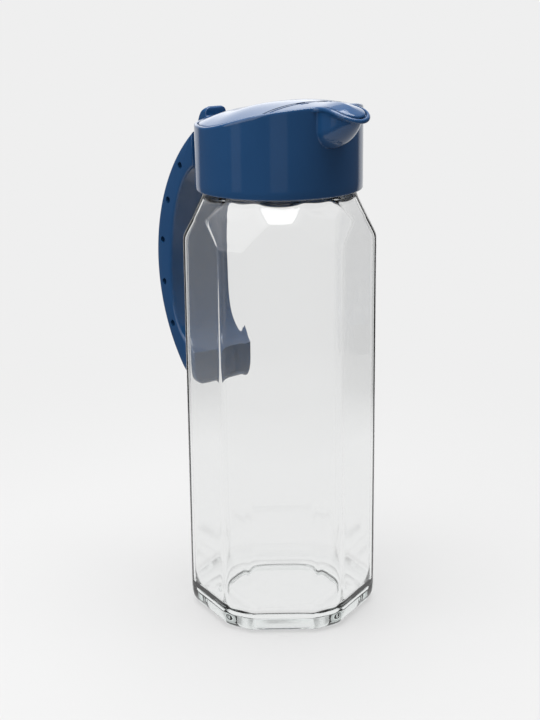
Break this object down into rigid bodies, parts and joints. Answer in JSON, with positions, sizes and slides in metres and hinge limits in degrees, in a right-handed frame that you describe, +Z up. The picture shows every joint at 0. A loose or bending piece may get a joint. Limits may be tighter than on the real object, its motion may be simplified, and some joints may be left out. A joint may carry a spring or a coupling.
{
  "type": "jug with lid",
  "caption": "Tall faceted glass jug with a screw-on plastic pouring head that carries a crescent handle, a thumb-lever lid and a flap over the spout.",
  "frame": {"origin": "on the jug's own axis in the plane that its base ring stands on", "axes": "+Z up along the jug's axis, +X towards the spout, -X towards the handle"},
  "size_m": [0.1442, 0.0934, 0.2626],
  "materials": {
    "glass": "clear, faintly green in the thick base",
    "seal": "matte translucent silicone",
    "head_plastic": "glossy moulded",
    "lid_plastic": "glossy moulded",
    "pin": "drawn wire"
  },
  "bodies": {
    "jug": {"glass_jug": "glass"},
    "head": {"spout_collar": "head_plastic", "handle": "head_plastic", "neck_seal": "seal", "lid_hinge_pin": "pin"},
    "lid": {"lid_cover": "lid_plastic", "flap_hinge_pin": "pin"},
    "flap": {"spout_flap": "lid_plastic"}
  },
  "joints": [
    {"name": "head_lift", "type": "slide", "parent": "jug", "child": "head", "axis": [0, 0, 1], "range_m": [0, 0.06]},
    {"name": "lid_hinge", "type": "hinge", "parent": "head", "child": "lid", "pos_m": [-0.0462, 0, 0.2462], "axis": [0, -1, 0], "range_deg": [0, 48]},
    {"name": "flap_hinge", "type": "hinge", "parent": "lid", "child": "flap", "pos_m": [0.027, 0, 0.25903], "axis": [0, -1, 0], "range_deg": [0, 65]}
  ]
}
